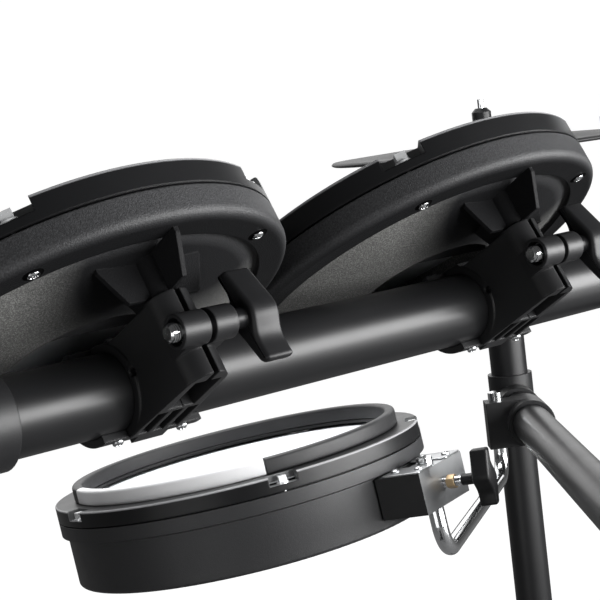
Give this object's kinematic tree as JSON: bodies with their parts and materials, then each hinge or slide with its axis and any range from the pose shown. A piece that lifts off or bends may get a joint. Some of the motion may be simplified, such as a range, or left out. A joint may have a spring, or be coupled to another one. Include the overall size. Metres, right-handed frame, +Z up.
{
  "type": "electronic drum kit",
  "caption": "Electronic drum kit: mesh-head pads on a black tube rack with tilting split clamps and wing screws, rocking rubber cymbals, and a bass tower with a sprung pedal.",
  "frame": {"origin": "centre of the kit's footprint, on the floor", "axes": "+X along the front tube towards the hi-hat, which is the player's left; +Y towards the player; +Z up"},
  "size_m": [1.6352, 0.805, 1.1712],
  "materials": {
    "black_plastic": "finely textured moulded plastic",
    "satin_plastic": "satin moulded plastic",
    "handle_plastic": "satin moulded plastic",
    "mesh": "woven white mesh",
    "foam": "dark foam on a plastic bridge",
    "chrome": "bright plated steel",
    "steel": "satin steel",
    "black_tube": "satin black paint",
    "rubber": "matt black rubber"
  },
  "bodies": {
    "rack": {"front_tube": "black_tube", "side_tube_left": "black_tube", "side_tube_right": "black_tube", "front_post_left": "black_tube", "front_post_right": "black_tube", "rear_post_left": "black_tube", "rear_post_right": "black_tube", "tee_joints": "black_plastic", "rubber_feet": "rubber", "arm_collars": "black_plastic", "hihat_rod": "chrome", "hihat_nut": "handle_plastic", "kick_tower": "black_tube", "kick_pad": "rubber", "pedal_frame": "steel"},
    "tom_left_mount": {"tom_left_clamp": "black_plastic", "tom_left_clamp_cap": "black_plastic"},
    "tom_left_pad": {"tom_left_shell": "black_plastic", "tom_left_hoop": "satin_plastic", "tom_left_head": "mesh", "tom_left_sensor": "foam", "tom_left_bolts": "chrome", "tom_left_post": "black_plastic"},
    "tom_left_handle": {"tom_left_wing_screw": "handle_plastic"},
    "tom_right_mount": {"tom_right_clamp": "black_plastic", "tom_right_clamp_cap": "black_plastic"},
    "tom_right_pad": {"tom_right_shell": "black_plastic", "tom_right_hoop": "satin_plastic", "tom_right_head": "mesh", "tom_right_sensor": "foam", "tom_right_bolts": "chrome", "tom_right_post": "black_plastic"},
    "tom_right_handle": {"tom_right_wing_screw": "handle_plastic"},
    "tom_floor_mount": {"tom_floor_clamp": "black_plastic", "tom_floor_clamp_cap": "black_plastic"},
    "tom_floor_pad": {"tom_floor_shell": "black_plastic", "tom_floor_hoop": "satin_plastic", "tom_floor_head": "mesh", "tom_floor_sensor": "foam", "tom_floor_bolts": "chrome", "tom_floor_post": "black_plastic"},
    "tom_floor_handle": {"tom_floor_wing_screw": "handle_plastic"},
    "snare_arm": {"snare_arm": "chrome"},
    "snare_pad": {"snare_shell": "black_plastic", "snare_hoop": "satin_plastic", "snare_rim": "rubber", "snare_head": "mesh", "snare_sensor": "foam", "snare_bolts": "chrome", "snare_bracket": "steel"},
    "snare_handle": {"snare_wing_screw": "handle_plastic"},
    "crash_arm": {"crash_arm": "chrome", "crash_nut": "handle_plastic"},
    "crash_cymbal": {"crash_pad": "rubber"},
    "ride_arm": {"ride_arm": "chrome", "ride_nut": "handle_plastic"},
    "ride_cymbal": {"ride_pad": "rubber"},
    "hihat_cymbal": {"hihat_pad": "rubber"},
    "footboard": {"pedal_footboard": "steel"},
    "beater": {"pedal_beater": "steel"}
  },
  "joints": [
    {"name": "tom_left_tilt", "type": "hinge", "parent": "rack", "child": "tom_left_mount", "pos_m": [-0.19278, -0.2975, 0.76], "axis": [1, 0, 0], "range_deg": [-20, 25]},
    {"name": "tom_left_swivel", "type": "hinge", "parent": "tom_left_mount", "child": "tom_left_pad", "pos_m": [-0.19278, -0.34045, 0.7848], "axis": [0, 0.5, 0.866], "range_deg": [-0.6, 15]},
    {"name": "tom_left_handle_turn", "type": "hinge", "parent": "tom_left_mount", "child": "tom_left_handle", "pos_m": [-0.19278, -0.35646, 0.78988], "axis": [1, 0, 0], "continuous": true},
    {"name": "tom_right_tilt", "type": "hinge", "parent": "rack", "child": "tom_right_mount", "pos_m": [0.04722, -0.2975, 0.76], "axis": [1, 0, 0], "range_deg": [-20, 25]},
    {"name": "tom_right_swivel", "type": "hinge", "parent": "tom_right_mount", "child": "tom_right_pad", "pos_m": [0.04722, -0.34045, 0.7848], "axis": [0, 0.5, 0.866], "range_deg": [-15, 0.6]},
    {"name": "tom_right_handle_turn", "type": "hinge", "parent": "tom_right_mount", "child": "tom_right_handle", "pos_m": [0.04722, -0.35646, 0.78988], "axis": [1, 0, 0], "continuous": true},
    {"name": "tom_floor_tilt", "type": "hinge", "parent": "rack", "child": "tom_floor_mount", "pos_m": [-0.50718, -0.06682, 0.553], "axis": [0.6393, -0.7689, 0], "range_deg": [-20, 14]},
    {"name": "tom_floor_swivel", "type": "hinge", "parent": "tom_floor_mount", "child": "tom_floor_pad", "pos_m": [-0.54419, -0.09759, 0.565], "axis": [0.186, 0.1547, 0.9703], "range_deg": [-15, 15]},
    {"name": "tom_floor_handle_turn", "type": "hinge", "parent": "tom_floor_mount", "child": "tom_floor_handle", "pos_m": [-0.55709, -0.10832, 0.56547], "axis": [0.6393, -0.7689, 0], "continuous": true},
    {"name": "snare_arm_swivel", "type": "hinge", "parent": "rack", "child": "snare_arm", "pos_m": [0.56827, 0.18377, 0.553], "axis": [0, 0, 1], "range_deg": [-10, 10]},
    {"name": "snare_swivel", "type": "hinge", "parent": "snare_arm", "child": "snare_pad", "pos_m": [0.32717, 0.04331, 0.5607], "axis": [-0.0454, 0.1235, 0.9913], "range_deg": [-16, 16]},
    {"name": "snare_handle_turn", "type": "hinge", "parent": "snare_pad", "child": "snare_handle", "pos_m": [0.32717, 0.04331, 0.5607], "axis": [0.3087, -0.942, 0.1315], "continuous": true},
    {"name": "crash_arm_swivel", "type": "hinge", "parent": "rack", "child": "crash_arm", "pos_m": [0.20862, -0.2975, 0.85], "axis": [0, 0, 1], "range_deg": [-60, 60]},
    {"name": "crash_rock", "type": "hinge", "parent": "crash_arm", "child": "crash_cymbal", "pos_m": [0.27479, -0.21864, 1.12548], "axis": [-0.7661, 0.6428, 0], "range_deg": [-8, 8], "stiffness_Nm_per_rad": 4},
    {"name": "ride_arm_swivel", "type": "hinge", "parent": "rack", "child": "ride_arm", "pos_m": [-0.76438, 0.2425, 0.66], "axis": [0, 0, 1], "range_deg": [-60, 60]},
    {"name": "ride_rock", "type": "hinge", "parent": "ride_arm", "child": "ride_cymbal", "pos_m": [-0.66764, 0.20729, 1.01548], "axis": [0.342, 0.9397, 0], "range_deg": [-8, 8], "stiffness_Nm_per_rad": 4},
    {"name": "hihat_rock", "type": "hinge", "parent": "rack", "child": "hihat_cymbal", "pos_m": [0.65762, 0.2425, 0.82664], "axis": [0, 1, 0], "range_deg": [-8, 8], "stiffness_Nm_per_rad": 4},
    {"name": "footboard_press", "type": "hinge", "parent": "rack", "child": "footboard", "pos_m": [-0.09338, 0.0715, 0.022], "axis": [1, 0, 0], "range_deg": [0, 12.6], "stiffness_Nm_per_rad": 4, "springref_deg": -25.78},
    {"name": "beater_swing", "type": "hinge", "parent": "rack", "child": "beater", "pos_m": [-0.09338, -0.1785, 0.15], "axis": [1, 0, 0], "range_deg": [0, 59.3]}
  ],
  "couplings": [
    {"joint": "beater_swing", "follows": "footboard_press", "ratio": 4.7}
  ]
}
